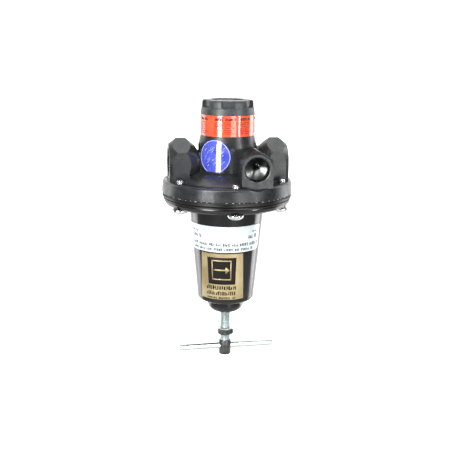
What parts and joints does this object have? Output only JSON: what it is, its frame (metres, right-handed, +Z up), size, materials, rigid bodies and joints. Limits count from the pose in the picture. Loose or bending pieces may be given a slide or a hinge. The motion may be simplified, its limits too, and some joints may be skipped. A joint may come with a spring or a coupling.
{
  "type": "compressed air pressure regulator",
  "caption": "Diaphragm pressure regulator for compressed air with hexagonal pipe bosses, a tapered spring bonnet and a T-handle adjusting screw.",
  "frame": {"origin": "centre of the inlet port at its mouth, on the pipe line's axis", "axes": "+X along the pipe line from inlet to outlet, +Z up from the T-handle to the valve cap, -Y towards the gauge port"},
  "size_m": [0.119, 0.1192, 0.2425],
  "materials": {
    "body_enamel": "dark grey semi-gloss enamel on die-cast aluminium",
    "bonnet_enamel": "black gloss enamel on a drawn or cast housing",
    "cap_plastic": "moulded grey glass-filled plastic",
    "rubber": "moulded nitrile rubber",
    "brass": "turned brass",
    "spring_steel": "oiled spring steel",
    "plate_aluminium": "pressed aluminium",
    "zinc_steel": "bright zinc-plated steel",
    "label_red": "clear-coated orange-red tape with illegible bars",
    "label_white": "white film with illegible grey bars",
    "label_gold": null,
    "label_blue": "glossy blue disc"
  },
  "bodies": {
    "body": {"body_housing": "body_enamel", "valve_cap": "cap_plastic", "cap_o_ring": "rubber", "valve_seat": "brass", "aspirator_tube": "brass", "valve_spring": "spring_steel", "diaphragm": "rubber", "control_spring": "spring_steel", "bonnet": "bonnet_enamel", "bonnet_bushing": "brass", "flange_screws": "zinc_steel", "red_band_label": "label_red", "white_label": "label_white", "gold_label": "label_gold", "blue_sticker": "label_blue"},
    "diaphragm_centre": {"diaphragm_plate_upper": "plate_aluminium", "diaphragm_plate_lower": "plate_aluminium", "relief_seat": "brass", "plate_nut": "zinc_steel"},
    "valve": {"poppet": "brass", "poppet_disc": "rubber", "poppet_o_ring": "rubber"},
    "spring_seat": {"spring_rest": "zinc_steel", "thrust_ball": "spring_steel"},
    "handle": {"adjusting_screw": "zinc_steel", "t_bar": "zinc_steel"},
    "washer": {"nut_washer": "zinc_steel"},
    "nut": {"jam_nut": "zinc_steel"}
  },
  "joints": [
    {"name": "rest_advance", "type": "slide", "parent": "body", "child": "spring_seat", "axis": [0, 0, 1], "range_m": [0, 0.0119], "deforming": ["control_spring"]},
    {"name": "handle_turn", "type": "hinge", "parent": "spring_seat", "child": "handle", "pos_m": [0.0538, 0, -0.1782], "axis": [0, 0, 1], "range_deg": [0, 2700]},
    {"name": "nut_advance", "type": "slide", "parent": "handle", "child": "washer", "axis": [0, 0, 1], "range_m": [0, 0.00476]},
    {"name": "nut_turn", "type": "hinge", "parent": "washer", "child": "nut", "pos_m": [0.0538, 0, -0.163], "axis": [0, 0, 1], "range_deg": [0, 1080]},
    {"name": "diaphragm_stroke", "type": "slide", "parent": "body", "child": "diaphragm_centre", "axis": [0, 0, 1], "range_m": [0, 0.003], "stiffness_N_per_m": 1500, "deforming": ["diaphragm"]},
    {"name": "valve_lift", "type": "slide", "parent": "body", "child": "valve", "axis": [0, 0, 1], "range_m": [0, 0.003], "deforming": ["valve_spring"]}
  ],
  "couplings": [
    {"joint": "handle_turn", "follows": "rest_advance", "rad_per_m": 3957.9},
    {"joint": "nut_turn", "follows": "nut_advance", "rad_per_m": 3957.9},
    {"joint": "valve_lift", "follows": "diaphragm_stroke", "ratio": 1}
  ]
}
